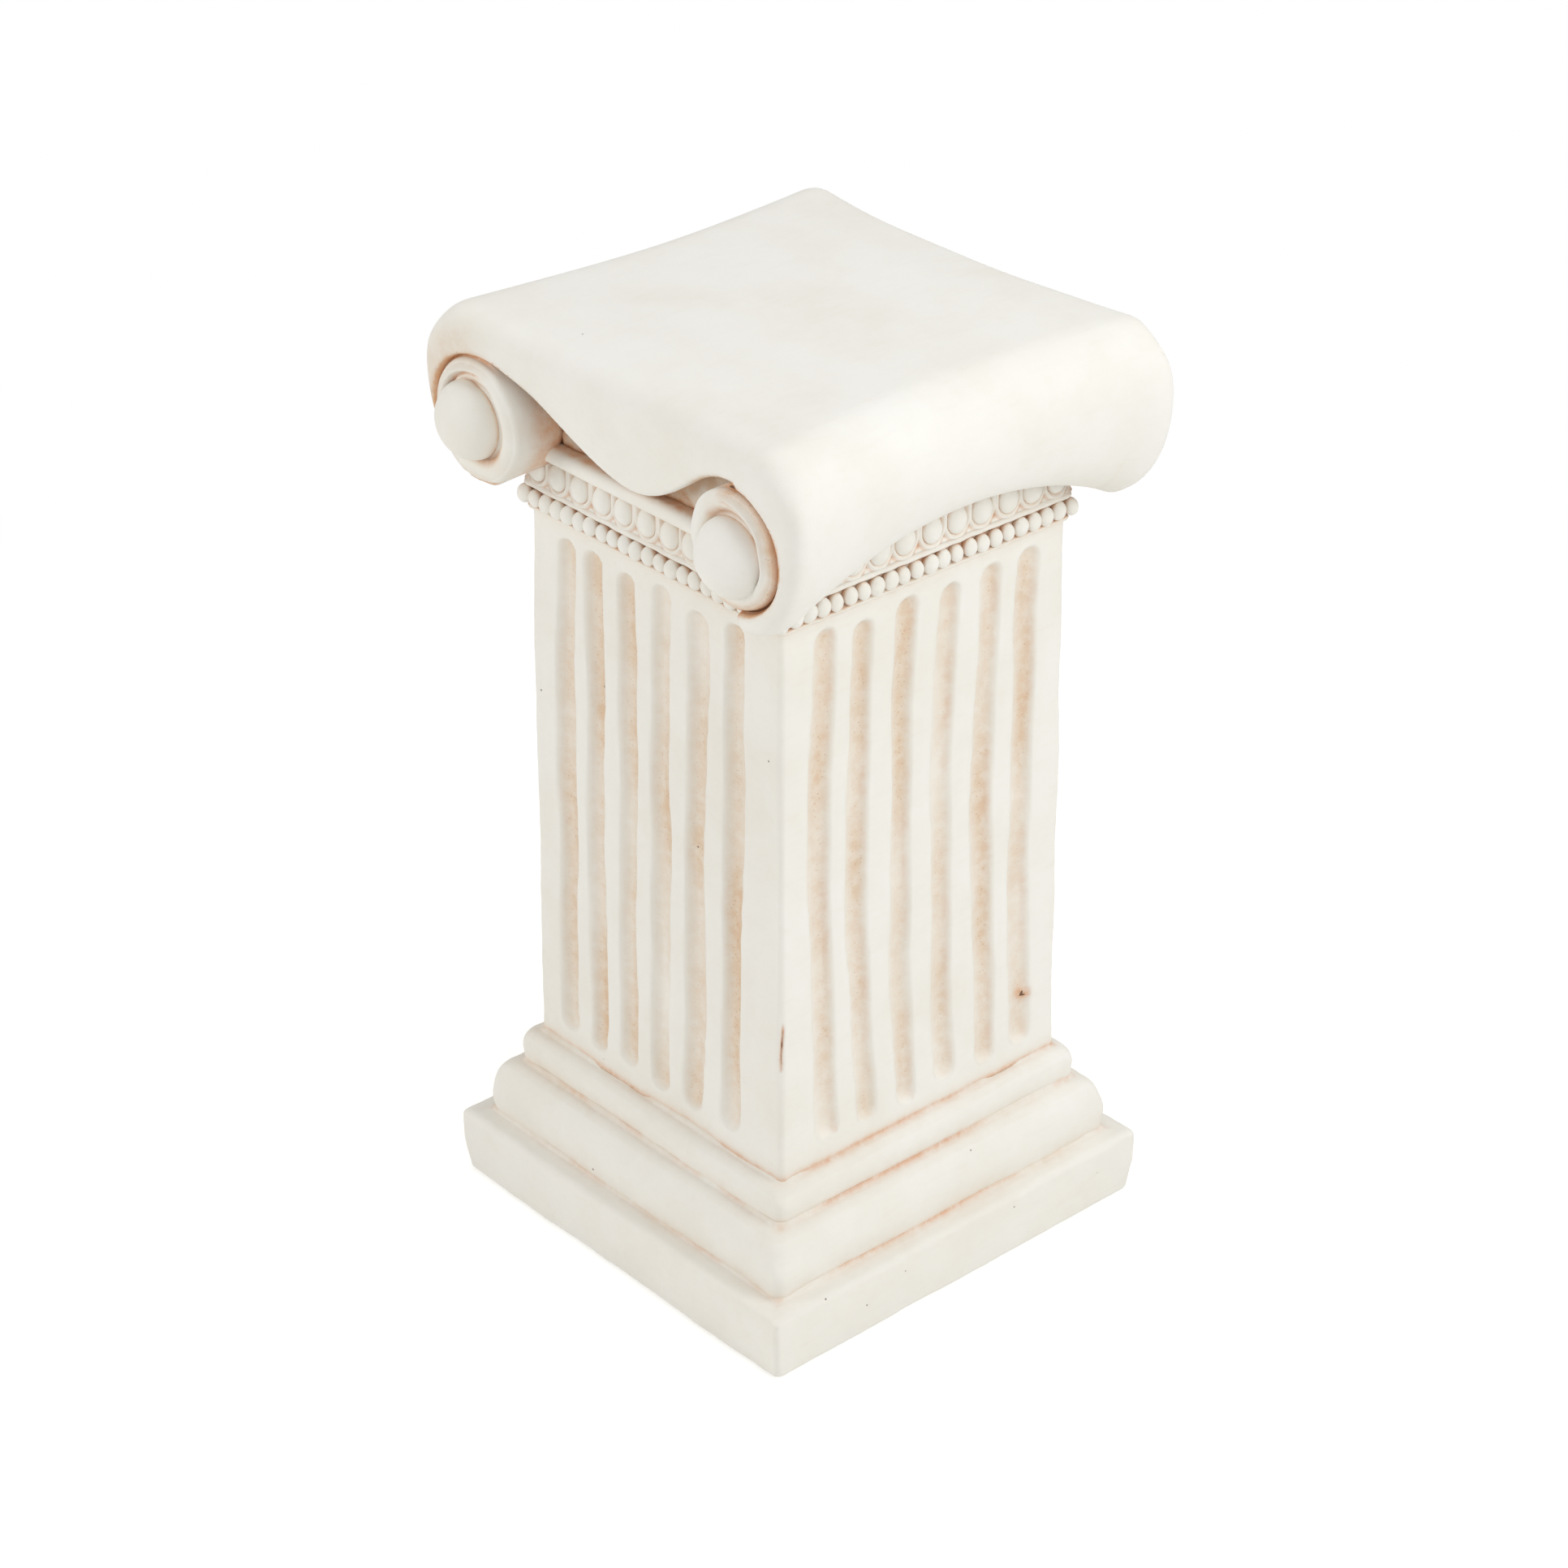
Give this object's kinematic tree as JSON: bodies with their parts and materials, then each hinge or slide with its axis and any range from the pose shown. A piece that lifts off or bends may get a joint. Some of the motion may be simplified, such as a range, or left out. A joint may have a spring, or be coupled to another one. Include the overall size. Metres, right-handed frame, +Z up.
{
  "type": "pedestal column stand",
  "caption": "Square fluted column pedestal with a moulded base, bead and egg courses, and a scroll capital with a flat top that a pot or figure stands on.",
  "frame": {"origin": "on the floor, under the middle of the column", "axes": "+Z up the column, -Y the front face with its two volutes, +X to the right-hand roll of the capital"},
  "size_m": [0.25, 0.25, 0.46],
  "materials": {
    "cast_stone": "matt antique white with a tan wash in the hollows",
    "mortar": "matt sandy mortar",
    "pad": "matt rubber"
  },
  "bodies": {
    "root": {"foot_pad_front_left": "pad", "foot_pad_front_right": "pad", "foot_pad_back_left": "pad", "foot_pad_back_right": "pad", "plinth": "cast_stone", "bed_plinth": "mortar", "base_torus": "cast_stone", "base_fillet": "cast_stone", "bed_shaft_foot": "mortar", "shaft": "cast_stone", "bed_shaft_head": "mortar", "neck_band": "cast_stone", "bead_strip_front": "cast_stone", "bead_strip_back": "cast_stone", "bead_strip_left": "cast_stone", "bead_strip_right": "cast_stone", "egg_band": "cast_stone", "eggs_front": "cast_stone", "eggs_back": "cast_stone", "eggs_left": "cast_stone", "eggs_right": "cast_stone", "echinus_ring": "cast_stone", "capital_core": "cast_stone", "scroll_cover": "cast_stone", "volute_front_left": "cast_stone", "volute_front_right": "cast_stone", "volute_back_left": "cast_stone", "volute_back_right": "cast_stone", "eye_front_left": "cast_stone", "eye_front_right": "cast_stone", "eye_back_left": "cast_stone", "eye_back_right": "cast_stone"}
  },
  "joints": []
}
